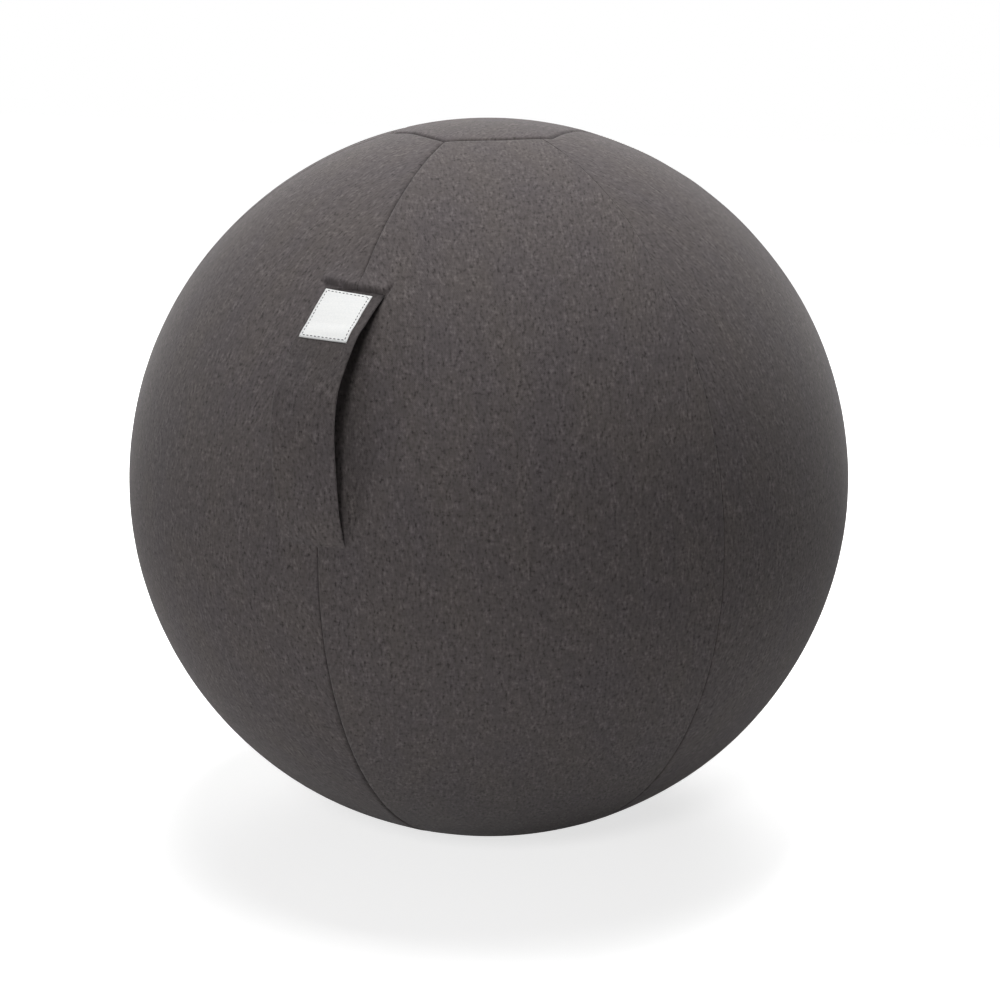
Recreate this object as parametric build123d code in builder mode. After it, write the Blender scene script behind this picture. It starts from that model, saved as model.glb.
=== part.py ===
"""Sitting ball: an inflatable ball in a sewn cover of six gores, with a carrying strap and a rear zip.

Millimetres, +Z up. The origin is the centre of the flat that rests on the floor, and the strap is at -Y.
"""

import os
from math import asin, atan, cos, degrees, radians, sin, sqrt, tan

from build123d import *

os.makedirs("parts", exist_ok=True)

# Cover
ball_radius = 325.0
cloth = 1.2
floor_flat_radius = 50.0
panel_corner_angle = 16.3
seam_bevel = 0.7
gore_names = ["front_right", "right", "rear_right", "rear_left", "left", "front_left"]
gore_angle = 360.0 / len(gore_names)

# Inner ball and its valve
cover_gap = 0.8
skin = 1.0
valve_latitude = -30.0
valve_side_angle = 8.0
valve_flange_radius = 18.0
valve_flange_thick = 1.5
valve_sleeve_radius = 11.0
valve_boss_radius = 9.0
valve_boss_length = 16.0
valve_bore_radius = 4.5
plug_head_radius = 8.6
plug_head_thick = 1.8
plug_head_proud = 0.3
plug_stem_radius = 3.9
plug_stem_length = 12.0
plug_rib_height = 1.4
plug_rib_spacing = 3.2
plug_ribs = 3
valve_fit = 0.1

# Carrying strap and its label
strap_width = 56.0
strap_thick = 2.4
strap_seat = 0.1
strap_top_latitude = 41.6
strap_bottom_latitude = 3.2
strap_top_sewn = 1.5
strap_bottom_sewn = 1.9
strap_rise = [(36.4, 12.5), (31.5, 23.0), (25.5, 34.4), (22.4, 36.0), (18.6, 31.8), (13.2, 20.5), (8.4, 9.4)]
label_top_latitude = 40.2
label_bottom_latitude = 31.3
label_width = 45.0
label_shift = -2.0
label_thick = 0.7

# Zip
zip_length_angle = 60.0
zip_slot_half = 5.5
tape_thick = 0.5
tape_width = 13.5
tape_edge = 1.5
tape_end_angle = 2.4
tooth_pitch = 3.6
tooth_thick = 1.6
tooth_depth = 2.6
tooth_root = 3.2
tooth_tip = 1.0
tooth_clamp = 0.1
stop_height = 3.2
stop_gap_angle = 0.12
slider_length = 12.0
slider_half_width = 4.7
slider_plate = 1.0
slider_flange = 1.1
slider_post_half = 1.1
slider_post_length = 4.0
slider_fit = 0.2
slider_tail_half = 4.2
slider_notch = 1.3
slider_corner = 1.6
bail_half_width = 1.1
bail_thick = 1.0
bail_window_half = 2.6
pull_bar_radius = 0.8
pull_fit = 0.25
pull_thick = 1.4
pull_eye_half = 1.6
pull_arm = 1.2
pull_neck = 4.8
pull_length = 30.0
pull_half_width = 4.5
pull_shoulder_radius = 3.3
pull_hole_radius = 1.9
groove_half = 6.2
groove_clear = 0.4
slot_end_clear = 0.35

# Derived radii, all measured from the centre of the ball
centre_height = sqrt(ball_radius**2 - floor_flat_radius**2)
centre = (0, 0, centre_height)
cover_inner = ball_radius - cloth
skin_outer = cover_inner - cover_gap
skin_inner = skin_outer - skin
tape_middle = (cover_inner + skin_outer) / 2
tape_outer = tape_middle + tape_thick / 2
tape_inner = tape_middle - tape_thick / 2
tooth_outer = tape_middle + tooth_depth / 2
tooth_inner = tape_middle - tooth_depth / 2
top_plate_inner = tooth_outer + slider_fit
top_plate_outer = top_plate_inner + slider_plate
bottom_plate_outer = tooth_inner - slider_fit
bottom_plate_inner = bottom_plate_outer - slider_plate
groove_floor = bottom_plate_inner - groove_clear
pull_axis_radius = top_plate_outer + pull_fit + pull_bar_radius
bail_inner = pull_axis_radius + pull_bar_radius + pull_fit
bail_outer = bail_inner + bail_thick

panel_edge_angle = degrees(atan(tan(radians(panel_corner_angle)) * cos(radians(gore_angle / 2))))
zip_axis = Axis(centre, (1, 0, 0))


def meridian_plane(azimuth):
    """Plane through the ball's axis, local x outward at that azimuth and local y up."""
    c, s = cos(radians(azimuth)), sin(radians(azimuth))
    return Plane(origin=centre, x_dir=(c, s, 0), z_dir=(s, -c, 0))


def panel_plane(azimuth, up):
    """Plane of one straight side of the top panel, or of the base panel where up is -1."""
    c, s = cos(radians(azimuth)), sin(radians(azimuth))
    lean = radians(panel_edge_angle)
    return Plane(origin=centre, x_dir=(-s, c, 0), z_dir=(-cos(lean) * c, -cos(lean) * s, up * sin(lean)))


def zip_plane(latitude):
    """Plane across the rear seam, local x across the seam and local y out of the ball."""
    return Plane(origin=centre, x_dir=(1, 0, 0), z_dir=(0, -sin(radians(latitude)), cos(radians(latitude))))


def angle_of(length, radius=ball_radius):
    """Angle that a length along the surface takes up at the centre of the ball."""
    return degrees(length / radius)


def polar(radius, angle):
    return (radius * cos(radians(angle)), radius * sin(radians(angle)))


def shell_section(plane, inner, outer, start, sweep):
    """Strip between two arcs about the centre of the ball."""
    with BuildSketch(plane) as section:
        with BuildLine():
            CenterArc((0, 0), outer, start, sweep)
            CenterArc((0, 0), inner, start, sweep)
            Line(polar(inner, start), polar(outer, start))
            Line(polar(inner, start + sweep), polar(outer, start + sweep))
        make_face()
    return section.sketch


def flat_bottom_section(radius, floor, top_angle):
    """Half section of a ball of that radius, cut off flat at the height floor below its centre."""
    reach = sqrt(radius**2 - floor**2)
    start = -degrees(asin(floor / radius))
    with BuildSketch(meridian_plane(0)) as section:
        with BuildLine():
            Line((0, -floor), (reach, -floor))
            CenterArc((0, 0), radius, start, top_angle - start)
            Line(polar(radius, top_angle), (0, 0))
            Line((0, 0), (0, -floor))
        make_face()
    return section.sketch


def zip_section(latitude, points):
    """Outline across the rear seam, given as pairs of distance across and radius."""
    with BuildSketch(zip_plane(latitude)) as section:
        Polygon(*points, align=None)
    return section.sketch


def box_points(left, right, inner, outer):
    return [(left, inner), (right, inner), (right, outer), (left, outer)]


# Inner ball, pressed in along the zip
valve_turn = radians(valve_side_angle)
valve_rise = radians(valve_latitude)
valve_direction = (sin(valve_turn) * cos(valve_rise), cos(valve_turn) * cos(valve_rise), sin(valve_rise))
valve_across = Vector(cos(valve_turn), -sin(valve_turn), 0)
valve_plane = Plane(origin=centre, x_dir=valve_across, z_dir=valve_across.cross(Vector(*valve_direction)))
valve_axis = Axis(centre, valve_direction)
groove_low = -zip_length_angle - tape_end_angle
groove_high = tape_end_angle + slot_end_clear
groove_wall_angle = angle_of(skin)

with BuildPart() as inner_ball:
    revolve(flat_bottom_section(skin_outer, centre_height - cloth - cover_gap, 90), Axis.Z)
    revolve(flat_bottom_section(skin_inner, centre_height - cloth - cover_gap - skin, 90), Axis.Z, mode=Mode.SUBTRACT)
    channel = box_points(-groove_half - skin, groove_half + skin, groove_floor - skin, skin_outer - skin / 2)
    revolve(
        zip_section(groove_low - groove_wall_angle, channel),
        zip_axis,
        groove_high - groove_low + 2 * groove_wall_angle,
    )
    groove = box_points(-groove_half, groove_half, groove_floor, ball_radius)
    revolve(zip_section(groove_low, groove), zip_axis, groove_high - groove_low, mode=Mode.SUBTRACT)
    with BuildSketch(valve_plane) as valve_hole:
        with Locations((0, skin_inner - cloth)):
            Rectangle(valve_sleeve_radius + valve_fit, ball_radius - skin_inner, align=(Align.MIN, Align.MIN))
    revolve(axis=valve_axis, mode=Mode.SUBTRACT)
inner_ball.part.label = "inner_ball"
export_step(inner_ball.part, "parts/inner_ball.step")

# Valve insert, welded to the inside of the ball
flange_outer = skin_inner - valve_fit
flange_inner = flange_outer - valve_flange_thick
flange_angle = degrees(asin(valve_flange_radius / flange_outer))
plug_seat = skin_outer + plug_head_proud - plug_head_thick
with BuildPart() as valve_insert:
    revolve(shell_section(valve_plane, flange_inner, flange_outer, 90 - flange_angle, flange_angle), valve_axis)
    with BuildSketch(valve_plane) as sleeve:
        with Locations((0, flange_inner + valve_flange_thick / 2)):
            Rectangle(valve_sleeve_radius, skin_outer - flange_inner - valve_flange_thick / 2, align=(Align.MIN, Align.MIN))
        with Locations((0, flange_outer - valve_boss_length)):
            Rectangle(valve_boss_radius, valve_boss_length - valve_flange_thick / 2, align=(Align.MIN, Align.MIN))
    revolve(axis=valve_axis)
    with BuildSketch(valve_plane) as bore:
        with Locations((0, flange_outer - valve_boss_length - skin)):
            Rectangle(valve_bore_radius, valve_boss_length + 2 * skin + cloth, align=(Align.MIN, Align.MIN))
        with Locations((0, plug_seat - valve_fit)):
            Rectangle(plug_head_radius + valve_fit, ball_radius - plug_seat, align=(Align.MIN, Align.MIN))
    revolve(axis=valve_axis, mode=Mode.SUBTRACT)
valve_insert.part.label = "valve_insert"
export_step(valve_insert.part, "parts/valve_insert.step")

# Valve plug, a ribbed stem under a flat head
with BuildPart() as valve_plug:
    with BuildSketch(valve_plane) as plug_section:
        with Locations((0, plug_seat)):
            Rectangle(plug_head_radius, plug_head_thick, align=(Align.MIN, Align.MIN))
        with Locations((0, plug_seat - plug_stem_length)):
            Rectangle(plug_stem_radius, plug_stem_length, align=(Align.MIN, Align.MIN))
        for rib in range(plug_ribs):
            with Locations((0, plug_seat - (rib + 1) * plug_rib_spacing)):
                Rectangle(valve_bore_radius - valve_fit, plug_rib_height, align=(Align.MIN, Align.MIN))
    revolve(axis=valve_axis)
valve_plug.part.label = "valve_plug"
export_step(valve_plug.part, "parts/valve_plug.step")

# Six gores, and the slot that the two rear ones leave for the zip
slot_low = -zip_length_angle - angle_of(stop_height) - slot_end_clear
slot_high = angle_of(slider_length / 2 + stop_height) + stop_gap_angle + slot_end_clear
for index, name in enumerate(gore_names):
    seam = -90 + index * gore_angle
    middle = seam + gore_angle / 2
    with BuildPart() as gore:
        end_angle = 90 - panel_edge_angle + angle_of(4 * cloth)
        revolve(
            shell_section(meridian_plane(seam), cover_inner, ball_radius, -end_angle, 2 * end_angle),
            Axis.Z,
            gore_angle,
        )
        split(bisect_by=panel_plane(middle, 1), keep=Keep.BOTTOM)
        split(bisect_by=panel_plane(middle, -1), keep=Keep.BOTTOM)
        chamfer(gore.faces().sort_by(SortBy.AREA)[-1].edges(), seam_bevel)
        if name.startswith("rear"):
            slot = box_points(-zip_slot_half, zip_slot_half, groove_floor, ball_radius + cloth)
            revolve(zip_section(slot_low, slot), zip_axis, slot_high - slot_low, mode=Mode.SUBTRACT)
    gore.part.label = "gore_" + name
    export_step(gore.part, "parts/gore_" + name + ".step")

# Hexagonal top panel
with BuildPart() as top_panel:
    cap_angle = panel_corner_angle + angle_of(4 * cloth)
    revolve(shell_section(meridian_plane(0), cover_inner, ball_radius, 90 - cap_angle, cap_angle), Axis.Z)
    for index in range(len(gore_names)):
        split(bisect_by=panel_plane(-90 + (index + 0.5) * gore_angle, 1), keep=Keep.TOP)
    chamfer(top_panel.faces().sort_by(SortBy.AREA)[-1].edges(), seam_bevel)
top_panel.part.label = "top_panel"
export_step(top_panel.part, "parts/top_panel.step")

# Hexagonal base panel, pressed flat where it meets the floor
with BuildPart() as base_panel:
    base_top = -90 + panel_corner_angle + angle_of(4 * cloth)
    revolve(flat_bottom_section(ball_radius, centre_height, base_top), Axis.Z)
    revolve(flat_bottom_section(cover_inner, centre_height - cloth, 90), Axis.Z, mode=Mode.SUBTRACT)
    for index in range(len(gore_names)):
        split(bisect_by=panel_plane(-90 + (index + 0.5) * gore_angle, -1), keep=Keep.TOP)
    outer_face = base_panel.faces().filter_by(GeomType.SPHERE).sort_by(SortBy.AREA)[-1]
    chamfer(outer_face.edges().sort_by(Axis.Z)[1:], seam_bevel)
base_panel.part.label = "base_panel"
export_step(base_panel.part, "parts/base_panel.step")

# Carrying strap, a flat band that rises off the cover between its two sewn ends
strap_inner = ball_radius + strap_seat
strap_outer = strap_inner + strap_thick
strap_turn = 1.2 * degrees(asin(strap_width / 2 / (ball_radius * cos(radians(strap_top_latitude)))))
strap_plane = meridian_plane(-90 - strap_turn)
strap_upper = strap_top_latitude - strap_top_sewn
strap_lower = strap_bottom_latitude + strap_bottom_sewn


def strap_line(over):
    """The strap's course at a distance over its inner face, with both sewn ends on the cover."""
    seat = strap_inner + over
    crest = [polar(ball_radius + rise - strap_thick + over, latitude) for latitude, rise in strap_rise]
    top = CenterArc((0, 0), seat, strap_upper, strap_top_latitude - strap_upper)
    bottom = CenterArc((0, 0), seat, strap_bottom_latitude, strap_lower - strap_bottom_latitude)
    course = Spline(
        top @ 0,
        *crest,
        bottom @ 1,
        tangents=(Vector(*polar(1, strap_upper - 75)), Vector(*polar(1, strap_lower - 105))),
    )
    return top, course, bottom


def strap_section(low, high):
    """Strip between two courses of the strap."""
    with BuildSketch(strap_plane) as section:
        with BuildLine() as outline:
            inner = strap_line(low)
            outer = strap_line(high)
            Line(inner[0] @ 1, outer[0] @ 1)
            Line(inner[2] @ 0, outer[2] @ 0)
        make_face(outline.edges())
    return section.sketch


with BuildPart() as handle_strap:
    revolve(strap_section(0, strap_thick), Axis.Z, 2 * strap_turn)
    split(bisect_by=Plane.YZ.offset(strap_width / 2), keep=Keep.BOTTOM)
    split(bisect_by=Plane.YZ.offset(-strap_width / 2), keep=Keep.TOP)
handle_strap.part.label = "handle_strap"
export_step(handle_strap.part, "parts/handle_strap.step")

# Label, sewn flat on the upper part of the strap
with BuildPart() as handle_label:
    far = 2 * ball_radius
    with BuildSketch(strap_plane) as label_section:
        add(strap_plane.to_local_coords(strap_section(strap_thick + strap_seat, strap_thick + strap_seat + label_thick)))
        Polygon(
            (0, 0),
            polar(far, label_bottom_latitude),
            polar(far, label_top_latitude),
            align=None,
            mode=Mode.INTERSECT,
        )
    revolve(axis=Axis.Z, revolution_arc=2 * strap_turn)
    split(bisect_by=Plane.YZ.offset(label_shift + label_width / 2), keep=Keep.BOTTOM)
    split(bisect_by=Plane.YZ.offset(label_shift - label_width / 2), keep=Keep.TOP)
handle_label.part.label = "handle_label"
export_step(handle_label.part, "parts/handle_label.step")

# Zip tapes, sewn under the edges of the rear gores
tape_low = -zip_length_angle - tape_end_angle
tape_reach = tape_edge + tape_width
tape_turn = 1.2 * degrees(asin(tape_reach / (tape_inner * cos(radians(tape_low)))))
for side, name in ((-1, "zip_tape_left"), (1, "zip_tape_right")):
    with BuildPart() as tape:
        band = shell_section(meridian_plane(90 - tape_turn), tape_inner, tape_outer, tape_low, tape_end_angle - tape_low)
        revolve(band, Axis.Z, 2 * tape_turn)
        left, right = sorted((side * tape_edge, side * tape_reach))
        split(bisect_by=Plane.YZ.offset(right), keep=Keep.BOTTOM)
        split(bisect_by=Plane.YZ.offset(left), keep=Keep.TOP)
    tape.part.label = name
    export_step(tape.part, "parts/" + name + ".step")

# Zip teeth, each clamped round the edge of its tape, the rows half a pitch apart
clamp_outer = tape_outer + tooth_clamp
clamp_inner = tape_inner - tooth_clamp
pitch_angle = angle_of(tooth_pitch)
teeth = int((zip_length_angle - angle_of(tooth_thick)) / pitch_angle)


def clamp_points(side, root, tip):
    """Outline of a clamp open towards its own tape, root on the tape and tip past the middle."""
    floor = tape_edge - tooth_clamp
    return [
        (side * root, tooth_inner),
        (side * tip, tooth_inner),
        (side * tip, tooth_outer),
        (side * root, tooth_outer),
        (side * root, clamp_outer),
        (side * floor, clamp_outer),
        (side * floor, clamp_inner),
        (side * root, clamp_inner),
    ]


for side, name in ((-1, "zip_teeth_left"), (1, "zip_teeth_right")):
    with BuildPart() as row:
        latitudes = [-(index + 0.25 - 0.25 * side) * pitch_angle for index in range(teeth)]
        with BuildSketch(*[zip_plane(latitude) for latitude in latitudes]) as tooth:
            Polygon(*clamp_points(side, tooth_root, -tooth_tip), align=None)
        extrude(amount=tooth_thick / 2, both=True)
    row.part.label = name
    export_step(row.part, "parts/" + name + ".step")

# End stops: one on each tape above the slider, and one across both at the low end
stop_up = angle_of(slider_length / 2 + stop_height / 2) + stop_gap_angle
stop_down = -zip_length_angle - angle_of(stop_height / 2)
with BuildPart() as zip_stops:
    for side in (-1, 1):
        with BuildSketch(zip_plane(stop_up)) as upper_stop:
            Polygon(*clamp_points(side, tooth_root, tooth_clamp), align=None)
        extrude(amount=stop_height / 2, both=True)
        with BuildSketch(zip_plane(stop_down)) as lower_stop:
            Polygon(*clamp_points(side, tooth_root, 0), align=None)
        extrude(amount=stop_height / 2, both=True)
zip_stops.part.label = "zip_stops"
export_step(zip_stops.part, "parts/zip_stops.step")

# Slider, two plates joined by a post that parts the rows, with a bail for the pull tab
half_slide = angle_of(slider_length / 2)
flange_edge = slider_half_width - slider_flange
with BuildPart() as zip_slider:
    plates = [
        box_points(-slider_half_width, slider_half_width, top_plate_inner, top_plate_outer),
        box_points(-slider_half_width, slider_half_width, bottom_plate_inner, bottom_plate_outer),
    ]
    for side in (-1, 1):
        left, right = sorted((side * flange_edge, side * slider_half_width))
        plates.append(box_points(left, right, tape_outer + slider_fit, top_plate_inner))
        plates.append(box_points(left, right, bottom_plate_outer, tape_inner - slider_fit))
    for plate in plates:
        revolve(zip_section(-half_slide, plate), zip_axis, 2 * half_slide)
    post = box_points(-slider_post_half, slider_post_half, bottom_plate_outer, top_plate_inner)
    post_angle = angle_of(slider_post_length)
    revolve(zip_section(half_slide - post_angle, post), zip_axis, post_angle)
    with BuildSketch(Plane.YZ.offset(-bail_half_width)) as bail:
        with Locations((top_plate_outer - slider_plate / 2, centre_height)):
            Rectangle(
                bail_outer - top_plate_outer + slider_plate / 2,
                2 * (bail_window_half + bail_thick),
                align=(Align.MIN, Align.CENTER),
            )
        chamfer(bail.vertices().group_by(Axis.Y)[-1], bail_thick)
        with Locations((top_plate_inner, centre_height)):
            Rectangle(
                bail_inner - top_plate_inner,
                2 * bail_window_half,
                align=(Align.MIN, Align.CENTER),
                mode=Mode.SUBTRACT,
            )
    extrude(amount=2 * bail_half_width)
    with BuildSketch(Plane.XZ.offset(-bail_outer - cloth)) as outline:
        with Locations((0, centre_height)):
            Polygon(
                (slider_tail_half, -slider_length / 2 - slider_fit),
                (slider_half_width, 0),
                (slider_half_width, slider_length / 2 + slider_fit),
                (0, slider_length / 2 - slider_notch),
                (-slider_half_width, slider_length / 2 + slider_fit),
                (-slider_half_width, 0),
                (-slider_tail_half, -slider_length / 2 - slider_fit),
                align=None,
            )
        corners = outline.vertices().sort_by(Axis.Z)
        fillet(corners[:2] + corners[-2:], slider_corner)
    extrude(amount=bail_outer - bottom_plate_inner + 2 * cloth, mode=Mode.INTERSECT)
zip_slider.part.label = "zip_slider"
export_step(zip_slider.part, "parts/zip_slider.step")

# Pull tab, its bar held under the bail, hanging down
with BuildPart() as zip_pull_tab:
    with BuildSketch(Plane.XZ.offset(-pull_axis_radius - pull_thick / 2)) as tab:
        with Locations((0, centre_height - pull_length + pull_half_width)):
            Circle(pull_half_width)
        with Locations((0, centre_height - pull_neck - pull_shoulder_radius)):
            Circle(pull_shoulder_radius)
        make_hull()
        with Locations((0, centre_height - pull_length + pull_half_width)):
            Circle(pull_hole_radius, mode=Mode.SUBTRACT)
        for side in (-1, 1):
            with Locations((side * (pull_eye_half + pull_arm / 2), centre_height)):
                Rectangle(pull_arm, pull_neck + 2 * pull_arm, align=(Align.CENTER, Align.MAX))
    extrude(amount=pull_thick)
    with BuildSketch(Plane.YZ.offset(-pull_eye_half - pull_arm)) as bar:
        with Locations((pull_axis_radius, centre_height)):
            Circle(pull_bar_radius)
    extrude(amount=2 * (pull_eye_half + pull_arm))
zip_pull_tab.part.label = "zip_pull_tab"
export_step(zip_pull_tab.part, "parts/zip_pull_tab.step")
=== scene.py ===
"""Looks of the sitting ball: sewn cloth cover, carrying strap with its label, and the rear zip.

Metres, in the frame of the CAD part: +Z up, strap at -Y, zip at +Y.
"""

from math import atan, cos, degrees, exp, pi, radians, sin, sqrt, tan

import bpy
import numpy as np
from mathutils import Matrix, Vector, noise


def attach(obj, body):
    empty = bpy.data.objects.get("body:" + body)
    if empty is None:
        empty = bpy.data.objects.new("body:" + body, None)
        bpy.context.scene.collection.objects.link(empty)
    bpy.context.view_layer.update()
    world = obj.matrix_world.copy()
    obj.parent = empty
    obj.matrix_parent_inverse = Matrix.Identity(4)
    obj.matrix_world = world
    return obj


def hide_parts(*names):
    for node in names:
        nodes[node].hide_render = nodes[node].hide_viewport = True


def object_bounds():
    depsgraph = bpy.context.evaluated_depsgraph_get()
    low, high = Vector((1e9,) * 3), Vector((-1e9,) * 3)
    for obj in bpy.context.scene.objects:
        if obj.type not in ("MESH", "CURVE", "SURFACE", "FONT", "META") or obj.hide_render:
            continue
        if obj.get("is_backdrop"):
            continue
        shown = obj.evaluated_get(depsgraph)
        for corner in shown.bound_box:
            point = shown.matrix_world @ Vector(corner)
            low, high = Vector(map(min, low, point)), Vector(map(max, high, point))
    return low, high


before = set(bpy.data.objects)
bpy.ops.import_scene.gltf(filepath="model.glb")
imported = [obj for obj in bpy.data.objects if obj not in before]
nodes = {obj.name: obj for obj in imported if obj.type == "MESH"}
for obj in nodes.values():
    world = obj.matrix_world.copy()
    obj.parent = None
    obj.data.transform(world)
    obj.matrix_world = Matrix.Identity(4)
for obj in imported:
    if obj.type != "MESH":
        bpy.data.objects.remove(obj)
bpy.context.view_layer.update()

MM = 0.001

# Ball and cover, as in the solids
BALL_RADIUS = 325 * MM
FLOOR_FLAT = 50 * MM
CENTRE_Z = sqrt(BALL_RADIUS**2 - FLOOR_FLAT**2)
PANEL_CORNER = radians(16.3)
GORES = ["front_right", "right", "rear_right", "rear_left", "left", "front_left"]
HALF_GORE = pi / len(GORES)
PANEL_EDGE = atan(tan(PANEL_CORNER) * cos(HALF_GORE))

# Top panel as sewn: bow of its front side, shift to the zip, and a corner pulled past its seam
PANEL_BOW = radians(0.9)
PANEL_SHIFT = radians(1.1)
PANEL_NARROW = radians(1.0)
PANEL_PULL = radians(63)
PANEL_PULL_REACH = radians(22)
PANEL_SKEW = radians(6)
PANEL_LIFT = radians(0.5)

# Seams: how far the cloth rolls in, how deep its allowance goes and how it puckers
SEAM_ROLL = 2.0 * MM
PANEL_ROLL = 4.1 * MM
SEAM_ALLOWANCE = 2.2 * MM
SEAM_STEPS = [0.0, 0.3, 0.7, 1.3, 2.0, 2.8, 4.2, 7.0, 11.0, 16.0]
PUCKER = 0.30 * MM
PUCKER_REACH = 11 * MM
PUCKER_LENGTH = 19 * MM
SLACK = 0.45 * MM
SLACK_LENGTH = 120 * MM
SLACK_EDGE = 20 * MM

# Right seam, which flattens upwards
RIGHT_FLATTER = 0.8
RIGHT_FROM = radians(5)
RIGHT_OVER = radians(35)

# Front seam: deep near the top panel, flat under the strap's upper end, and deep again near the base
FRONT_DEEPER = 0.55
FRONT_FROM = radians(42)
FRONT_OVER = radians(14)
LIP_FLATTER = 0.75
LIP_FLAT_REACH = 13 * MM
BASE_DEEPER = 0.9
BASE_FROM = radians(-3)
BASE_OVER = radians(27)
STRAP_FLATTER = 0.3
STRAP_FLAT_FROM = radians(25)
STRAP_FLAT_OVER = radians(10)

# Meshes of gores and end panels: counts of rows, and closer lines near the strap's upper end in millimetres
GORE_COLUMNS = 25
GORE_ROWS = 190
CLOSE_COLUMNS = [19, 22, 25, 28, 31, 33.5, *np.arange(35, 43.5, 0.8), 46, 50]
CLOSE_ROWS = np.arange(-6.13, 17, 0.8)
PANEL_SEGMENTS = 24
PANEL_RINGS = 12
PANEL_INSIDE = 79 * MM
PANEL_PUCKER_STEP = 3.3 * MM

# Places of the pieces on the flat cloth, apart from each other, and the flat size of a gore
GORE_PLACE = 0.37
PANEL_PLACE = 0.6
STRAP_PLACE = 2.2
LINING_PLACE = 0.003

# Zip slot in the rear seam
SLOT_HALF = 5.5 * MM
SLOT_LOW = radians(-60.8)
SLOT_HIGH = radians(2.0)
SLOT_EASE = 7 * MM
SLOT_ROLL = 1.15 * MM

# Carrying strap: latitudes in degrees, and heights over the ball in millimetres
STRAP_WIDTH = 56 * MM
STRAP_THICK = 2.4 * MM
STRAP_TOP = 40.8
STRAP_BOTTOM = 4.2
STRAP_START = [(0.9, -1.3), (0.0, -0.8), (-0.7, 0.4)]
STRAP_RISE = [(38.6, 3.8), (36.4, 9.4), (34.0, 15.6), (31.5, 23.0), (25.5, 34.4)]
STRAP_FALL = [(22.4, 36.0), (18.6, 31.8), (13.2, 21.2), (8.4, 12.4)]
STRAP_END = [(2.2, 7.6), (0.8, 4.4), (0.0, 1.8), (-0.9, -0.8)]
STRAP_STATIONS = 170
STRAP_TWIST = 2.0 * MM
TWIST_AT = 31
TWIST_REACH = 7
STRAP_SLOPE = 0.148
SLOPE_FROM = 20 * MM
SLOPE_OVER = 130 * MM
STRAP_SHIFT = -3.6 * MM
STRAP_ROUNDING = 0.22
EDGE_ROUNDING = 0.8
END_THIN = 0.35
END_EASE = 14 * MM
SEWN_LINE = 28 * MM
SEWN_DEPTH = 0.4 * MM
SEWN_SLOPE = 0.15
SEWN_HALF = 1.3 * MM
# Painted shade: the strap's cloth is darker towards its upper end, which gets less light from above
PAINTED_STRAP_SHADE = (STRAP_PLACE - 143 * MM, STRAP_PLACE - 82 * MM, 1.0, 0.68)
# Painted shadow: the strap's cloth right below the lip over its upper end is darker, where the lip shades
# it
PAINTED_LIP_SHADOW = (STRAP_PLACE - 12 * MM, STRAP_PLACE - 8.5 * MM, 1.0, 0.75)

# Lip of cloth over the strap's upper end, and the crease at its right corner
LIP_REACH_UP = 45 * MM
LIP_REACH_DOWN = 12 * MM
LIP_REACH_SIDE = 16 * MM
LIP_RISE = 2.8 * MM
LIP_RISE_EASE = 3.2 * MM
LIP_RISE_REACH = 11 * MM
LIP_SINK = 1.7 * MM
LIP_SINK_EASE = 6 * MM
LIP_SLIT = 1.6 * MM
LIP_LEFT = 6.5 * MM
LIP_LEFT_EASE = 2.5 * MM
LIP_RIGHT = 1.2 * MM
LIP_RIGHT_EASE = 1.3 * MM
LIP_CORNER = 1.6 * MM
LIP_CORNER_HALF = 7 * MM
LIP_CORNER_TOP = 16 * MM
LIP_CORNER_EASE = 14 * MM
CREASE_DEPTH = 1.9 * MM
CREASE_HALF = 0.9 * MM
CREASE_LEAN = 0.25
CREASE_TOP = 18 * MM
CREASE_TOP_EASE = 15 * MM
CREASE_FOOT = 8 * MM
CREASE_FOOT_EASE = 5 * MM

# Label and its stitches
LABEL_TOP = 39.95
LABEL_WIDTH = 45.5 * MM
LABEL_LENGTH = 57 * MM
LABEL_SHIFT = -2 * MM
LABEL_LEAN = 2 * MM
LABEL_THICK = 0.6 * MM
LABEL_LIFT = 0.15 * MM
LABEL_BEVEL = 0.12 * MM
LABEL_ROWS = 30
LABEL_COLUMNS = 24
STITCH_INSET = 2.3 * MM
STITCH_LENGTH = 2.5 * MM
STITCH_PITCH = 3.7 * MM
STITCH_RADIUS = 0.40 * MM
STITCH_SIDES = 8
STITCH_RINGS = 9

# Cloth: its grain across and along the yarn, its mean colour and its weave
YARN_STREAK = (2.7 * MM, 6.2 * MM)
YARN_CROSS = (5.0 * MM, 2.2 * MM)
YARN_SPECK = (2.0 * MM, 2.8 * MM)
YARN_PATCH = (9 * MM, 16 * MM)
YARN_WASH = (40 * MM, 70 * MM)
CLOTH_COLOUR = (0.0905, 0.0805, 0.0802)
WEAVE_PITCH = 0.8 * MM
WEAVE_DEPTH = 0.3 * MM

# Studio: each lamp's turn from the camera and its elevation in degrees, its size and its power
LAMPS = {
    "top": (0, 90, 1.2, 51),
    "front_left": (-12, 22, 0.35, 10.9),
    "left": (-62, 2, 0.6, 7.4),
    "back": (180, 30, 1.2, 16),
    "back_right": (138, 55, 1.2, 16),
}
FLOOR_HALF = 6.0
FLOOR_DROP = -0.3 * MM
LAMP_DISTANCE = 2.2
CAMERA_DISTANCE = 2.015
CAMERA_AZIMUTH = radians(24.6)
CAMERA_ELEVATION = radians(14.45)
CAMERA_ROLL = radians(-0.6)
CAMERA_LENS = 79.18
CAMERA_SHIFT = (0.01125, -0.02304)


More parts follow.
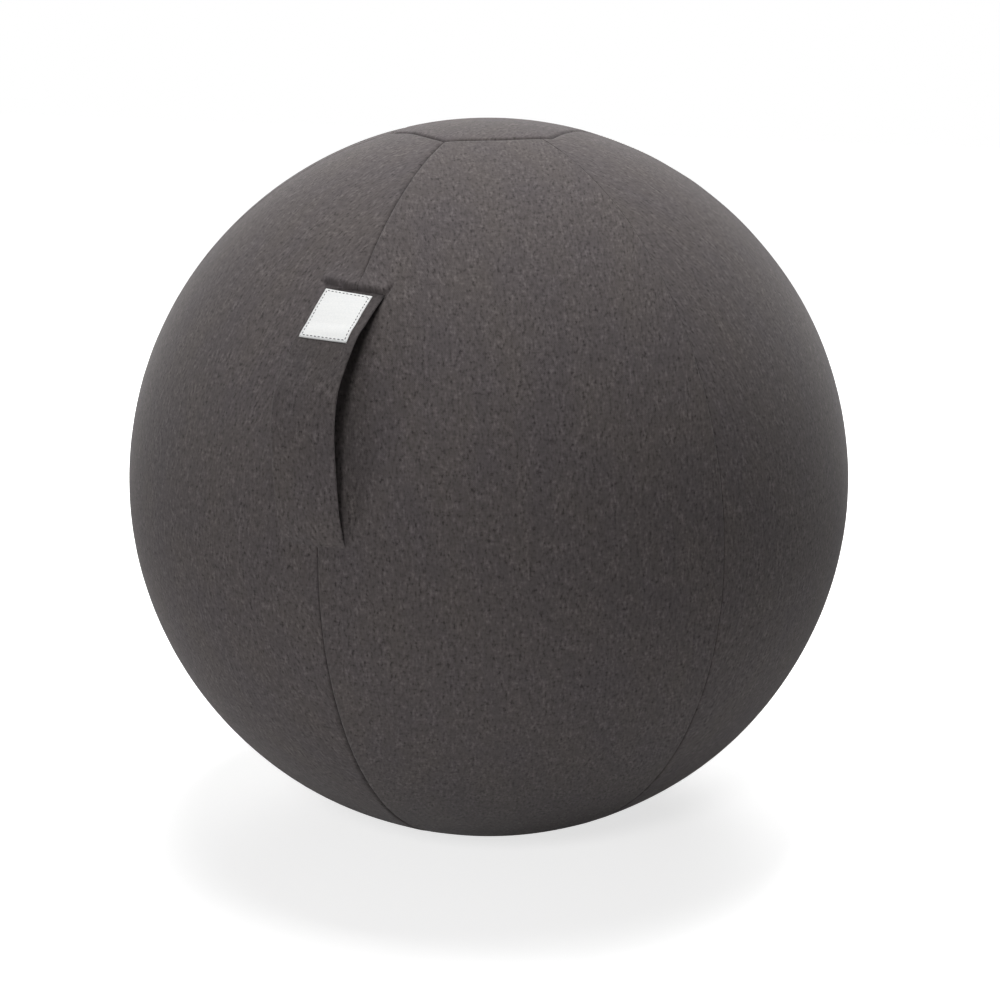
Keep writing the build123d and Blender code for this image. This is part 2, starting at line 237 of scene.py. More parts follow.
def add_mesh(name, points, faces, flat=None, smooth=True):
    """New mesh object from points and faces, with flat cloth coordinates in metres as its UV map."""
    mesh = bpy.data.meshes.new(name)
    mesh.from_pydata([tuple(p) for p in points], [], faces)
    if flat is not None:
        layer = mesh.uv_layers.new(name="flat")
        index = np.empty(len(mesh.loops), np.int32)
        mesh.loops.foreach_get("vertex_index", index)
        layer.data.foreach_set("uv", np.asarray(flat, np.float32)[index].ravel())
    mesh.polygons.foreach_set("use_smooth", [smooth] * len(mesh.polygons))
    mesh.validate()
    mesh.update()
    obj = bpy.data.objects.new(name, mesh)
    bpy.context.scene.collection.objects.link(obj)
    return obj


def grid_faces(rows, columns, closed=False):
    """Quads of a grid of points stored row by row, the last column joined to the first where closed."""
    across = columns if closed else columns - 1
    return [
        (
            i * columns + j,
            i * columns + (j + 1) % columns,
            (i + 1) * columns + (j + 1) % columns,
            (i + 1) * columns + j,
        )
        for i in range(rows - 1)
        for j in range(across)
    ]


def on_ball(longitude, latitude, radius):
    """Point at that distance from the ball's centre. Longitude runs from -Y towards +X."""
    return (
        radius * cos(latitude) * sin(longitude),
        -radius * cos(latitude) * cos(longitude),
        CENTRE_Z + radius * sin(latitude),
    )


def roll_in(distance, roll):
    """How far cloth has sunk at that distance from a seam where it rolls in."""
    if distance >= roll:
        return 0.0
    return roll - sqrt(max(0.0, roll**2 - (roll - distance) ** 2))


def slack(point):
    """Slight unevenness of cloth stretched over the ball."""
    return SLACK * noise.noise(Vector(point) / SLACK_LENGTH)


def pucker(distance, along, seed):
    """Gathering of the cloth beside a seam."""
    wave = noise.noise(Vector((along / PUCKER_LENGTH, seed * 7.3, 0.5)))
    return PUCKER * wave * exp(-distance / PUCKER_REACH)


def smooth_step(x):
    x = min(1.0, max(0.0, x))
    return x * x * (3 - 2 * x)


def slot_width(latitude):
    """Half width of the zip's slot at a latitude of the rear seam."""
    low = (latitude - SLOT_LOW) * BALL_RADIUS / SLOT_EASE
    high = (SLOT_HIGH - latitude) * BALL_RADIUS / SLOT_EASE
    return SLOT_HALF * smooth_step(low) * smooth_step(high)


def panel_edge_angle(longitude, up):
    """Angle from the pole to an end panel's outline.

    The top panel's front side bows outwards and its right corner runs on past the seam. It is a little
    narrow and sewn on towards the zip.
    """
    corner = 0.0
    if up > 0:
        beside = (longitude - PANEL_PULL + pi) % (2 * pi) - pi
        corner = exp(-((beside / PANEL_PULL_REACH) ** 2))
    turn = (longitude - PANEL_SKEW * corner) % (2 * HALF_GORE) - HALF_GORE
    angle = atan(tan(PANEL_EDGE) / cos(turn)) - PANEL_LIFT * corner
    if up > 0:
        facing = cos(longitude - HALF_GORE)
        angle += PANEL_BOW * cos(turn * len(GORES) / 2) * facing**2
        angle -= PANEL_SHIFT * cos(longitude) + PANEL_NARROW * (1 - facing**2)
    return angle


def lip(x, latitude):
    """Cloth raised over the strap's upper end, which goes in under it, and the creases it makes there."""
    x -= STRAP_SHIFT
    up = (latitude - radians(STRAP_TOP)) * BALL_RADIUS + STRAP_SLOPE * x
    half = STRAP_WIDTH / 2
    if up > LIP_REACH_UP or up < -LIP_REACH_DOWN or abs(x) > half + LIP_REACH_SIDE:
        return 0.0
    if x < 0:
        wide = smooth_step((half + LIP_LEFT + x) / (LIP_LEFT + LIP_LEFT_EASE))
    else:
        wide = smooth_step((half + LIP_RIGHT - x) / LIP_RIGHT_EASE)
    from_crease = x - half - LIP_RIGHT - CREASE_LEAN * max(0.0, up)
    crease = CREASE_DEPTH * exp(-((from_crease / CREASE_HALF) ** 2))
    crease *= smooth_step((CREASE_TOP - up) / CREASE_TOP_EASE)
    crease *= smooth_step((up + CREASE_FOOT) / CREASE_FOOT_EASE)
    if up < 0:
        return -wide * LIP_SINK * smooth_step((up + LIP_REACH_DOWN) / LIP_SINK_EASE) - crease
    rise = LIP_RISE * (1 - exp(-((up / LIP_RISE_EASE) ** 2))) * exp(-((up / LIP_RISE_REACH) ** 2))
    corner = LIP_CORNER * exp(-(((x - half) / LIP_CORNER_HALF) ** 2))
    rise += corner * smooth_step((LIP_CORNER_TOP - up) / LIP_CORNER_EASE)
    rise -= LIP_SINK * exp(-((up / LIP_SLIT) ** 2))
    return wide * rise - crease


def seam_roll(name, turn, latitude, share):
    """How far a gore's side rolls in at a latitude, where the zip's slot is open by that share."""
    roll = SEAM_ROLL + (SLOT_ROLL - SEAM_ROLL) * share
    if (name == "front_right" and turn > 0) or (name == "right" and turn < 0):
        roll *= 1 - RIGHT_FLATTER * smooth_step((latitude - RIGHT_FROM) / RIGHT_OVER)
    if (name == "front_right" and turn < 0) or (name == "front_left" and turn > 0):
        roll *= 1 + FRONT_DEEPER * smooth_step((latitude - FRONT_FROM) / FRONT_OVER)
        from_lip = (latitude - radians(STRAP_TOP)) * BALL_RADIUS
        roll *= 1 - LIP_FLATTER * exp(-((from_lip / LIP_FLAT_REACH) ** 2))
        low = BASE_DEEPER * smooth_step((BASE_FROM - latitude) / BASE_OVER) - STRAP_FLATTER
        roll *= 1 + low * smooth_step((STRAP_FLAT_FROM - latitude) / STRAP_FLAT_OVER)
    return roll


def gore(index):
    """One gore of the cover, from the base panel to the top panel, its edges turned in at the seams."""
    name = GORES[index]
    middle = HALF_GORE * (2 * index + 1)
    steps = [d * MM for d in SEAM_STEPS]
    inner = HALF_GORE - steps[-1] / BALL_RADIUS
    plain = np.linspace(-inner, inner, GORE_COLUMNS)[1:-1]
    turns = [-HALF_GORE] + [-HALF_GORE + d / BALL_RADIUS for d in steps] + list(plain)
    turns += [HALF_GORE - d / BALL_RADIUS for d in reversed(steps)] + [HALF_GORE]
    if name.startswith("front"):
        side = -1 if name == "front_right" else 1
        turns = sorted(turns + [side * (HALF_GORE - d * MM / BALL_RADIUS) for d in CLOSE_COLUMNS])
    turned_in = {0, len(turns) - 1}
    run = 2 * (pi / 2 - PANEL_EDGE) * BALL_RADIUS
    first = steps[-1] / run
    lines = [d / run for d in steps] + list(np.linspace(first, 1 - first, GORE_ROWS)[1:-1])
    lines += [1 - d / run for d in reversed(steps)]
    if name.startswith("front"):
        slit = (radians(STRAP_TOP) + pi / 2 - PANEL_CORNER) / (pi - 2 * PANEL_CORNER + PANEL_SHIFT)
        lines = sorted(lines + [slit + d * MM / run for d in CLOSE_ROWS])
    lines = [0.0] + lines + [1.0]
    ends_in = {0, len(lines) - 1}
    points, flat = [], []
    for i, line in enumerate(lines):
        for j, turn in enumerate(turns):
            bottom = panel_edge_angle(middle + turn, -1) - pi / 2
            reach = pi / 2 - panel_edge_angle(middle + turn, 1) - bottom
            latitude = bottom + reach * line
            side = HALF_GORE - abs(turn)
            ring = BALL_RADIUS * cos(latitude)
            open_half = 0.0
            if (name == "rear_right" and turn > 0) or (name == "rear_left" and turn < 0):
                open_half = slot_width(latitude)
            limit = HALF_GORE - open_half / ring
            turn_here = turn * limit / HALF_GORE
            from_side = side * ring
            from_end = min(line, 1 - line) * reach * BALL_RADIUS
            share = open_half / SLOT_HALF
            roll = seam_roll(name, turn, latitude, share)
            sink = max(roll_in(from_side, roll), roll_in(from_end, PANEL_ROLL))
            if j in turned_in or i in ends_in:
                sink += SEAM_ALLOWANCE * (1 - share)
            place = on_ball(middle + turn_here, latitude, BALL_RADIUS)
            rise = slack(place) * smooth_step(min(from_side, from_end) / SLACK_EDGE)
            rise += pucker(from_side, latitude * BALL_RADIUS, index + 0.5 * (turn > 0))
            rise += pucker(from_end, turn_here * ring, 9 + index)
            if name.startswith("front"):
                rise += lip(place[0], latitude)
            points.append(on_ball(middle + turn_here, latitude, BALL_RADIUS - sink + rise))
            flat.append((turn_here * ring, latitude * BALL_RADIUS + index * GORE_PLACE))
    return add_mesh("cover_" + name, points, grid_faces(len(lines), len(turns)), flat)


def end_panel(name, up):
    """Hexagonal panel that closes the gores at the top, or at the floor where up is -1."""
    around = PANEL_SEGMENTS * len(GORES)
    steps = [d * MM for d in SEAM_STEPS]
    inwards = [0.0] + steps + list(np.linspace(steps[-1], PANEL_INSIDE, PANEL_RINGS)[1:-1])
    points, flat = [], []
    for i, inward in enumerate(inwards):
        for k in range(around):
            longitude = k * 2 * HALF_GORE / PANEL_SEGMENTS
            edge = panel_edge_angle(longitude, up)
            angle = edge - inward / BALL_RADIUS * (edge / PANEL_EDGE)
            sink = roll_in(inward, PANEL_ROLL) + (SEAM_ALLOWANCE if i == 0 else 0)
            latitude = up * (pi / 2 - angle)
            place = on_ball(longitude, latitude, BALL_RADIUS)
            rise = pucker(inward, k * PANEL_PUCKER_STEP, 20 + up)
            if up > 0:
                rise += slack(place) * smooth_step(inward / SLACK_EDGE)
            place = on_ball(longitude, latitude, BALL_RADIUS - sink + rise)
            points.append((place[0], place[1], max(place[2], 0.0)))
            flat.append((place[0], place[1] + up * PANEL_PLACE))
    faces = grid_faces(len(inwards), around, closed=True)
    points.append((0, 0, CENTRE_Z + BALL_RADIUS if up > 0 else 0.0))
    flat.append((0, up * PANEL_PLACE))
    last = (len(inwards) - 1) * around
    faces += [(last + k, last + (k + 1) % around, len(points) - 1) for k in range(around)]
    if up < 0:
        faces = [tuple(reversed(f)) for f in faces]
    return add_mesh(name, points, faces, flat)


# Material building blocks


def new_material(name):
    """Material with only a Principled shader, and a function that adds nodes to it."""
    material = bpy.data.materials.new(name)
    material.use_nodes = True
    tree = material.node_tree
    shader = next(n for n in tree.nodes if n.type == "BSDF_PRINCIPLED")

    def add(kind, *inputs, **settings):
        made = tree.nodes.new("ShaderNode" + kind)
        for key, value in settings.items():
            setattr(made, key, value)
        for slot, value in enumerate(inputs):
            if isinstance(value, bpy.types.NodeSocket):
                tree.links.new(value, made.inputs[slot])
            elif value is not None:
                made.inputs[slot].default_value = value
        return made

    def link(socket, target):
        tree.links.new(socket, shader.inputs[target])

    return material, shader, add, link


def ramp(add, value, stops):
    """Colour ramp from pairs of place and colour."""
    made = add("ValToRGB", value)
    elements = made.color_ramp.elements
    while len(elements) < len(stops):
        elements.new(0.5)
    for element, (place, colour) in zip(elements, stops):
        element.position = place
        element.color = (*colour, 1)
    return made.outputs["Color"]


def add_link(made, socket):
    """Gives a texture node the coordinates that it is read at."""
    made.id_data.links.new(socket, made.inputs["Vector"])


def yarn_noise(add, flat, across, along, detail=2.0, rough=0.55):
    """Noise drawn out along the yarn: its grain is that long across and along the cloth."""
    scaled = add("Mapping", flat, None, None, (1 / across, 1 / along, 1)).outputs[0]
    made = add("TexNoise", noise_dimensions="2D")
    made.inputs["Scale"].default_value = 1.0
    made.inputs["Detail"].default_value = detail
    made.inputs["Roughness"].default_value = rough
    add_link(made, scaled)
    return made.outputs[0]


def cover_cloth(name, painted_shade=False):
    """Grey cloth of mixed yarn: streaks along the yarns, sparse dark and light flecks, and a fine weave.

    Cloth for the strap carries painted shade in its colour: it is darker towards its upper end, which gets
    less light, and has a painted shadow just below the lip of cloth at that end.
    """
    material, shader, add, link = new_material(name)
    tree = material.node_tree
    flat = add("UVMap", uv_map="flat").outputs[0]
    streak = yarn_noise(add, flat, *YARN_STREAK)
    cross = yarn_noise(add, flat, *YARN_CROSS)
    speck = yarn_noise(add, flat, *YARN_SPECK, 1.0)
    patch = yarn_noise(add, flat, *YARN_PATCH)
    sum1 = add("Math", streak, 0.5, 0.0, operation="MULTIPLY_ADD").outputs[0]
    sum2 = add("Math", cross, 0.22, sum1, operation="MULTIPLY_ADD").outputs[0]
    sum3 = add("Math", speck, 0.28, sum2, operation="MULTIPLY_ADD").outputs[0]
    centred = add("Math", sum3, 0.5, operation="SUBTRACT").outputs[0]
    gain = add("MapRange", patch, 0.3, 0.7, 0.65, 1.45).outputs[0]
    middle = add("MapRange", patch, 0.3, 0.7, 0.465, 0.535).outputs[0]
    tone = add("Math", centred, gain, middle, operation="MULTIPLY_ADD").outputs[0]
    colours = ramp(
        add,
        tone,
        [
            (0.30, [0.48 * c for c in CLOTH_COLOUR]),
            (0.44, [0.90 * c for c in CLOTH_COLOUR]),
            (0.56, [1.09 * c for c in CLOTH_COLOUR]),
            (0.72, [1.50 * c for c in CLOTH_COLOUR]),
        ],
    )
    wash = yarn_noise(add, flat, *YARN_WASH, 3.0)
    tint = ramp(add, wash, [(0.30, (0.94, 0.93, 0.95)), (0.70, (1.0, 0.985, 0.96))])
    mixed = add("Mix", data_type="RGBA", blend_type="MULTIPLY")
    mixed.inputs[0].default_value = 1.0
    tree.links.new(colours, mixed.inputs[6])
    tree.links.new(tint, mixed.inputs[7])
    split = add("SeparateXYZ", flat)
    # Painted shade on the strap's cloth: darker towards its upper end, and a painted shadow just below the
    # lip
    if painted_shade:
        strap_shade_ramp = add("MapRange", split.outputs[1], *PAINTED_STRAP_SHADE, interpolation_type="SMOOTHSTEP")
        lip_shadow_ramp = add("MapRange", split.outputs[1], *PAINTED_LIP_SHADOW, interpolation_type="SMOOTHSTEP")
        shade = add("Math", strap_shade_ramp.outputs[0], lip_shadow_ramp.outputs[0], operation="MULTIPLY")
        darker = add("Mix", data_type="RGBA", blend_type="MULTIPLY")
        darker.inputs[0].default_value = 1.0
        tree.links.new(mixed.outputs[2], darker.inputs[6])
        tree.links.new(shade.outputs[0], darker.inputs[7])
        mixed = darker
    link(mixed.outputs[2], "Base Color")
    waves = []
    for way in (0, 1):
        turned = add("Math", split.outputs[way], pi / WEAVE_PITCH, operation="MULTIPLY").outputs[0]
        waves.append(add("Math", turned, operation="SINE").outputs[0])
    weave = add("Math", *waves, operation="MULTIPLY").outputs[0]
    height = add("Math", weave, 0.35, tone, operation="MULTIPLY_ADD").outputs[0]
    bump = add("Bump")
    bump.inputs["Strength"].default_value = 0.35
    bump.inputs["Distance"].default_value = WEAVE_DEPTH
    tree.links.new(height, bump.inputs["Height"])
    link(bump.outputs[0], "Normal")
    rough = add("MapRange", tone, 0.3, 0.7, 0.98, 0.86)
    link(rough.outputs[0], "Roughness")
    shader.inputs["Specular IOR Level"].default_value = 0.05
    shader.inputs["Sheen Weight"].default_value = 0.2
    shader.inputs["Sheen Roughness"].default_value = 0.45
    shader.inputs["Sheen Tint"].default_value = (0.80, 0.78, 0.78, 1)
    return material


def woven(name, colour, light, pitch, bump_depth, roughness=0.8):
    """Fine ribbon or tape: ribs across and a little unevenness."""
    material, shader, add, link = new_material(name)
    place = add("TexCoord").outputs["Object"]
    grain = add("TexNoise")
    add_link(grain, place)
    grain.inputs["Scale"].default_value = 0.4 / pitch
    grain.inputs["Detail"].default_value = 3.0
    link(ramp(add, grain.outputs[0], [(0.3, colour), (0.7, light)]), "Base Color")
    ribs = add("TexWave", bands_direction="Z")
    add_link(ribs, place)
    ribs.inputs["Scale"].default_value = 1 / (pitch * 20)
    bump = add("Bump")
    bump.inputs["Strength"].default_value = 0.4
    bump.inputs["Distance"].default_value = bump_depth
    material.node_tree.links.new(ribs.outputs[1], bump.inputs["Height"])
    link(bump.outputs[0], "Normal")
    shader.inputs["Roughness"].default_value = roughness
    shader.inputs["Specular IOR Level"].default_value = 0.3
    return material


def moulded(name, dark, light, grain_size, roughness, metal=0.0, gloss=0.5):
    """Plastic, soft vinyl, thread or lacquered metal, with a fine grain in its colour and surface."""
    material, shader, add, link = new_material(name)
    place = add("TexCoord").outputs["Object"]
    grain = add("TexNoise")
    add_link(grain, place)
    grain.inputs["Scale"].default_value = 1 / grain_size
    grain.inputs["Detail"].default_value = 4.0
    link(ramp(add, grain.outputs[0], [(0.35, dark), (0.65, light)]), "Base Color")
    rough = add("MapRange", grain.outputs[0], 0.3, 0.7, roughness - 0.06, roughness + 0.08)
    link(rough.outputs[0], "Roughness")
    bump = add("Bump")
    bump.inputs["Strength"].default_value = 0.15
    bump.inputs["Distance"].default_value = 0.05 * MM
    material.node_tree.links.new(grain.outputs[0], bump.inputs["Height"])
    link(bump.outputs[0], "Normal")
    shader.inputs["Metallic"].default_value = metal
    shader.inputs["Specular IOR Level"].default_value = gloss
    return material


def dress(obj, material):
    """Gives a piece or a CAD node that one material."""
    obj.data.materials.clear()
    obj.data.materials.append(material)


CLOTH_COVER = cover_cloth("cover_cloth")
LABEL_RIBBON = woven("label_ribbon", (0.62, 0.63, 0.63), (0.69, 0.69, 0.68), 0.5 * MM, 0.08 * MM)
TAPE_WEAVE = woven("zip_tape_weave", (0.020, 0.019, 0.019), (0.040, 0.038, 0.038), 0.8 * MM, 0.2 * MM)
GREY_THREAD = moulded("grey_thread", (0.06, 0.06, 0.065), (0.13, 0.13, 0.14), 0.3 * MM, 0.7)
VINYL = moulded("soft_vinyl", (0.016, 0.016, 0.017), (0.024, 0.024, 0.026), 3 * MM, 0.75, gloss=0.1)
VALVE_PLASTIC = moulded("valve_plastic", (0.70, 0.70, 0.68), (0.78, 0.78, 0.76), 1.5 * MM, 0.4)
ZIP_PLASTIC = moulded("zip_plastic", (0.020, 0.020, 0.020), (0.034, 0.034, 0.034), 0.8 * MM, 0.35)
ZIP_METAL = moulded("zip_metal", (0.15, 0.15, 0.155), (0.21, 0.21, 0.215), 0.6 * MM, 0.34, 0.9)


def panel_area(up, index):
    """Area of the sixth of an end panel that closes that gore."""
    turns = np.linspace(-HALF_GORE, HALF_GORE, 61)
    middle = HALF_GORE * (2 * index + 1)
    caps = [1 - cos(panel_edge_angle(middle + turn, up)) for turn in turns]
    return 2 * HALF_GORE * BALL_RADIUS**2 * float(np.mean(caps))


# Cover panels
REST = "ball"
for index, name in enumerate(GORES):
    panel = gore(index)
    dress(panel, CLOTH_COVER)
    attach(panel, REST)
    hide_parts("gore_" + name)
    caps = [1 - panel_area(up, index) / (2 * HALF_GORE * BALL_RADIUS**2) for up in (1, -1)]
    area = 2 * HALF_GORE * BALL_RADIUS**2 * sum(caps)
for name, up in (("top_panel", 1), ("base_panel", -1)):
    panel = end_panel("cover_" + name, up)
    dress(panel, CLOTH_COVER)
    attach(panel, REST)
    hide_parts(name)
    area = sum(panel_area(up, part) for part in range(len(GORES)))


# Carrying strap


def curve_through(points, count):
    """Smooth curve through points in a plane, evenly spaced by length: a Catmull-Rom spline."""
    ends = [2 * points[0] - points[1], *points, 2 * points[-1] - points[-2]]
    fine = []
    for a, b, c, d in zip(ends, ends[1:], ends[2:], ends[3:]):
        square = 2 * a - 5 * b + 4 * c - d
        cubic = 3 * b - a - 3 * c + d
        for t in np.linspace(0, 1, 40, endpoint=False):
            fine.append(0.5 * (2 * b + (c - a) * t + square * t**2 + cubic * t**3))
    fine = np.array(fine + [points[-1]])
    length = np.concatenate([[0], np.cumsum(np.linalg.norm(np.diff(fine, axis=0), axis=1))])
    at = np.linspace(0, length[-1], count)
    return np.stack([np.interp(at, length, fine[:, k]) for k in (0, 1)], axis=1), length[-1]


def plane_point(radius, latitude):
    """Distance from the ball's axis and height over its centre."""
    return np.array([radius * cos(radians(latitude)), radius * sin(radians(latitude))])


def strap_course():
    """Middle line of the strap in the plane of the front seam, from its upper to its lower end."""
    course = [(STRAP_TOP + above, height) for above, height in STRAP_START]
    course += STRAP_RISE + STRAP_FALL
    course += [(STRAP_BOTTOM + above, height) for above, height in STRAP_END]
    points = []
    for latitude, height in course:
        points.append(plane_point(BALL_RADIUS + height * MM - STRAP_THICK / 2, latitude))
    return curve_through(points, STRAP_STATIONS)


def normals_of(course):
    """Outward normals along the strap's middle line."""
    along = np.gradient(course, axis=0)
    along /= np.linalg.norm(along, axis=1)[:, None]
    return np.stack([-along[:, 1], along[:, 0]], axis=1)


COURSE, STRAP_LENGTH = strap_course()
NORMALS = normals_of(COURSE)
STATIONS = np.linspace(0, STRAP_LENGTH, len(COURSE))


def strap_at(along, x, side, off=0.0):
    """Point of the strap, that far along from its upper end and across, on its outer or inner side."""
    slope = STRAP_SLOPE * (1 - smooth_step((along - SLOPE_FROM) / SLOPE_OVER))
    along = min(STRAP_LENGTH, max(0.0, along + slope * x))
    middle = np.array([np.interp(along, STATIONS, COURSE[:, k]) for k in (0, 1)])
    normal = np.array([np.interp(along, STATIONS, NORMALS[:, k]) for k in (0, 1)])
    half = STRAP_WIDTH / 2
    thin = END_THIN + (1 - END_THIN) * smooth_step(min(along, STRAP_LENGTH - along) / END_EASE)
    latitude = degrees(atan(middle[1] / middle[0]))
    twist = STRAP_TWIST * exp(-(((latitude - TWIST_AT) / TWIST_REACH) ** 2)) * x / half
    if side > 0:
        from_line = STRAP_LENGTH - SEWN_LINE + SEWN_SLOPE * x - along
        off -= SEWN_DEPTH * exp(-((from_line / SEWN_HALF) ** 2))
    spot = middle + normal * (side * STRAP_THICK / 2 * thin + twist + off)
    x += STRAP_SHIFT
    return (x, -sqrt(spot[0] ** 2 - x**2), CENTRE_Z + spot[1])


def lens(x):
    """Share of the strap's full thickness at that distance from its middle."""
    return 1 - STRAP_ROUNDING * (2 * x / STRAP_WIDTH) ** 2


def edge_arc(x, edge, start, end):
    """Rounded edge of the strap's section about a place across it, without its two ends."""
    turns = np.linspace(start, end, 9)[1:-1]
    return [(x + edge * cos(t), EDGE_ROUNDING * sin(t)) for t in turns]


def make_strap():
    """Closed band of cloth along the strap's course, with rounded edges."""
    half, edge = STRAP_WIDTH / 2, STRAP_THICK / 2
    across = np.linspace(-half + edge, half - edge, 29)
    ring = [(x, lens(x)) for x in across]
    ring += edge_arc(half - edge, edge, pi / 2, -pi / 2)
    ring += [(x, -lens(x)) for x in across[::-1]]
    ring += edge_arc(-half + edge, edge, 3 * pi / 2, pi / 2)
    points, flat = [], []
    for along in STATIONS:
        for x, side in ring:
            points.append(strap_at(along, x, side))
            flat.append((x + LINING_PLACE * (side < 0), STRAP_PLACE - along))
    faces = grid_faces(len(STATIONS), len(ring), closed=True)
    faces.append(tuple(range(len(ring)))[::-1])
    faces.append(tuple(range((len(STATIONS) - 1) * len(ring), len(STATIONS) * len(ring))))
    return add_mesh("carrying_strap", points, [tuple(reversed(f)) for f in faces], flat)


strap = make_strap()
# The strap's cloth carries painted shade and a painted shadow in its colour
dress(strap, cover_cloth("strap_cloth", painted_shade=True))
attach(strap, REST)
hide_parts("handle_strap")

# Label, sewn on the upper part of the strap
LABEL_START = (STRAP_TOP + STRAP_START[0][0] - LABEL_TOP) * pi / 180 * BALL_RADIUS


def label_x(x, along):
    """Place across the strap of a point of the label, which is sewn on slightly askew."""
    return x + LABEL_SHIFT + LABEL_LEAN * (along / LABEL_LENGTH - 0.6)


def make_label():
    """Thin ribbon that follows the strap's outer side, its upper edges slightly bevelled."""
    rows, columns = LABEL_ROWS, LABEL_COLUMNS
    points = []
    for lift in (LABEL_LIFT, LABEL_LIFT + LABEL_THICK):
        shrink = LABEL_BEVEL if lift > LABEL_THICK else 0.0
        for along in np.linspace(shrink, LABEL_LENGTH - shrink, rows):
            for x in np.linspace(-LABEL_WIDTH / 2 + shrink, LABEL_WIDTH / 2 - shrink, columns):
                x_here = label_x(x, along)
                points.append(strap_at(LABEL_START + along, x_here, lens(x_here), lift))
    size = rows * columns
    under = grid_faces(rows, columns)
    faces = under + [tuple(size + i for i in reversed(f)) for f in under]
    rim = [j for j in range(columns)] + [i * columns + columns - 1 for i in range(1, rows)]
    rim += [(rows - 1) * columns + j for j in range(columns - 2, -1, -1)]
    rim += [i * columns for i in range(rows - 2, 0, -1)]
    faces += [(a, a + size, b + size, b) for a, b in zip(rim, rim[1:] + rim[:1])]
    return add_mesh("label", points, faces)


def make_stitches():
    """Thread round the label, as short rounded dashes."""
    inset_x, inset_y = LABEL_WIDTH / 2 - STITCH_INSET, STITCH_INSET
    corners = [
        (-inset_x, inset_y),
        (inset_x, inset_y),
        (inset_x, LABEL_LENGTH - inset_y),
        (-inset_x, LABEL_LENGTH - inset_y),
    ]
    points, faces = [], []
    for (x0, y0), (x1, y1) in zip(corners, corners[1:] + corners[:1]):
        run = sqrt((x1 - x0) ** 2 + (y1 - y0) ** 2)
        count = round(run / STITCH_PITCH)
        for n in range(count):
            middle = (n + 0.5) / count
            first = len(points)
            for step in np.linspace(-1, 1, STITCH_RINGS):
                t = middle + step * STITCH_LENGTH / 2 / run
                x, y = x0 + (x1 - x0) * t, y0 + (y1 - y0) * t
                arch = sqrt(max(0.0, 1 - step**2))
                for side in range(STITCH_SIDES):
                    angle = 2 * pi * side / STITCH_SIDES
                    off = STITCH_RADIUS * max(arch, 0.05)
                    wide = off * cos(angle)
                    over = LABEL_THICK + LABEL_LIFT + off * sin(angle)
                    spread_x = wide * (y1 - y0) / run
                    spread_y = -wide * (x1 - x0) / run
                    x_here = label_x(x + spread_x, y + spread_y)
                    points.append(strap_at(LABEL_START + y + spread_y, x_here, lens(x_here), over))
            rings = grid_faces(STITCH_RINGS, STITCH_SIDES, closed=True)
            faces += [tuple(first + i for i in f) for f in rings]
    return add_mesh("label_stitches", points, faces)


label = make_label()
dress(label, LABEL_RIBBON)
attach(label, REST)
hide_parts("handle_label")
stitches = make_stitches()
dress(stitches, GREY_THREAD)
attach(stitches, REST)

# CAD nodes that stay as they are
for name, material in {
    "inner_ball": VINYL,
    "valve_insert": VALVE_PLASTIC,
    "valve_plug": VALVE_PLASTIC,
    "zip_tape_left": TAPE_WEAVE,
    "zip_tape_right": TAPE_WEAVE,
    "zip_teeth_left": ZIP_PLASTIC,
    "zip_teeth_right": ZIP_PLASTIC,
    "zip_stops": ZIP_PLASTIC,
    "zip_slider": ZIP_METAL,
    "zip_pull_tab": ZIP_METAL,
}.items():
    dress(nodes[name], material)

# Floor, background, light and camera


def floor_material():
    """Pale floor that goes over into the white background away from the ball."""
    material, shader, add, link = new_material("pale_floor")
    tree = material.node_tree
    shader.inputs["Base Color"].default_value = (0.74, 0.74, 0.74, 1)
    shader.inputs["Roughness"].default_value = 0.9
    shader.inputs["Specular IOR Level"].default_value = 0.0
    shader.inputs["Emission Color"].default_value = (1, 1, 1, 1)
    place = add("TexCoord").outputs["Object"]
    away = add("VectorMath", place, operation="LENGTH").outputs["Value"]
    white = add("MapRange", away, 0.5, 1.5, 0.72, 1.0, interpolation_type="SMOOTHSTEP").outputs[0]
    path = add("LightPath")
    glow = add("Math", white, path.outputs["Is Camera Ray"], operation="MULTIPLY").outputs[0]
    link(glow, "Emission Strength")
    return material


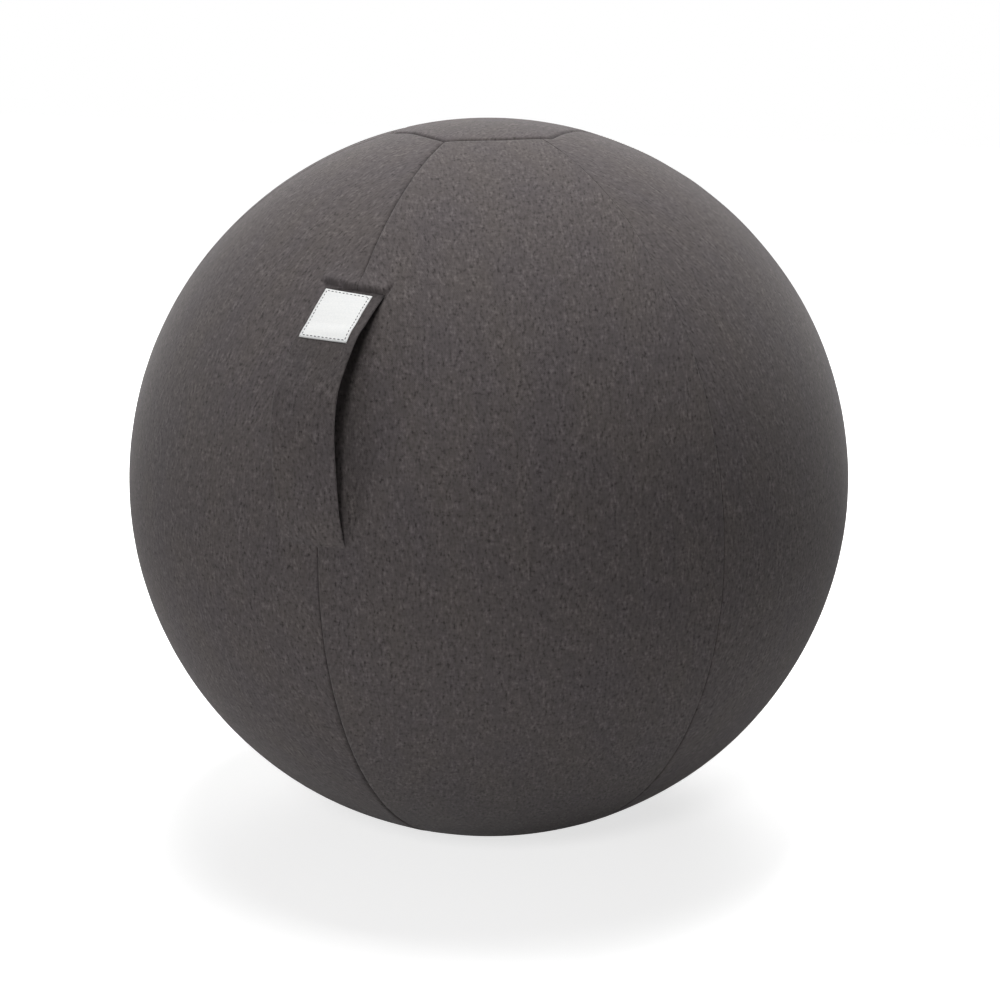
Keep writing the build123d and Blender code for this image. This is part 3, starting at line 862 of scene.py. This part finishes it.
floor = add_mesh(
    "floor",
    [(x * FLOOR_HALF, y * FLOOR_HALF, FLOOR_DROP) for x, y in ((-1, -1), (1, -1), (1, 1), (-1, 1))],
    [(0, 1, 2, 3)],
    smooth=False,
)
dress(floor, floor_material())
floor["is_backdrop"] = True

world = bpy.data.worlds.new("studio")
bpy.context.scene.world = world
world.use_nodes = True
sky = world.node_tree
background = sky.nodes["Background"]
background.inputs["Color"].default_value = (1, 1, 1, 1)
path = sky.nodes.new("ShaderNodeLightPath")
seen = sky.nodes.new("ShaderNodeMath")
seen.operation = "MAXIMUM"
sky.links.new(path.outputs["Is Camera Ray"], seen.inputs[0])
sky.links.new(path.outputs["Is Glossy Ray"], seen.inputs[1])
strength = sky.nodes.new("ShaderNodeMapRange")
sky.links.new(seen.outputs[0], strength.inputs[0])
strength.inputs["To Min"].default_value = 0.02
strength.inputs["To Max"].default_value = 1.0
sky.links.new(strength.outputs[0], background.inputs["Strength"])


def area_light(name, place, target, size, power):
    """Soft square lamp that faces a point."""
    lamp = bpy.data.lights.new(name, "AREA")
    lamp.size = size
    lamp.energy = power
    obj = bpy.data.objects.new(name, lamp)
    obj.location = place
    obj.rotation_euler = (Vector(target) - Vector(place)).to_track_quat("-Z", "Y").to_euler()
    bpy.context.scene.collection.objects.link(obj)
    return obj


ball_centre = (0, 0, CENTRE_Z)
for name, (turn, elevation, size, power) in LAMPS.items():
    azimuth = CAMERA_AZIMUTH + radians(turn)
    high = radians(elevation)
    aim = Vector((cos(high) * sin(azimuth), -cos(high) * cos(azimuth), sin(high)))
    area_light(name, Vector(ball_centre) + aim * LAMP_DISTANCE, ball_centre, size, power)

camera_data = bpy.data.cameras.new("camera")
camera_data.lens = CAMERA_LENS
camera_data.shift_x, camera_data.shift_y = CAMERA_SHIFT
camera = bpy.data.objects.new("camera", camera_data)
bpy.context.scene.collection.objects.link(camera)
direction = Vector(
    (
        cos(CAMERA_ELEVATION) * sin(CAMERA_AZIMUTH),
        -cos(CAMERA_ELEVATION) * cos(CAMERA_AZIMUTH),
        sin(CAMERA_ELEVATION),
    )
)
camera.location = Vector(ball_centre) + direction * CAMERA_DISTANCE
look = (-direction).to_track_quat("-Z", "Y").to_matrix().to_4x4()
camera.rotation_euler = look.to_euler()
camera.rotation_euler.rotate_axis("Z", CAMERA_ROLL)
bpy.context.scene.camera = camera
bpy.context.scene.view_settings.view_transform = "Standard"

low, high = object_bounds()
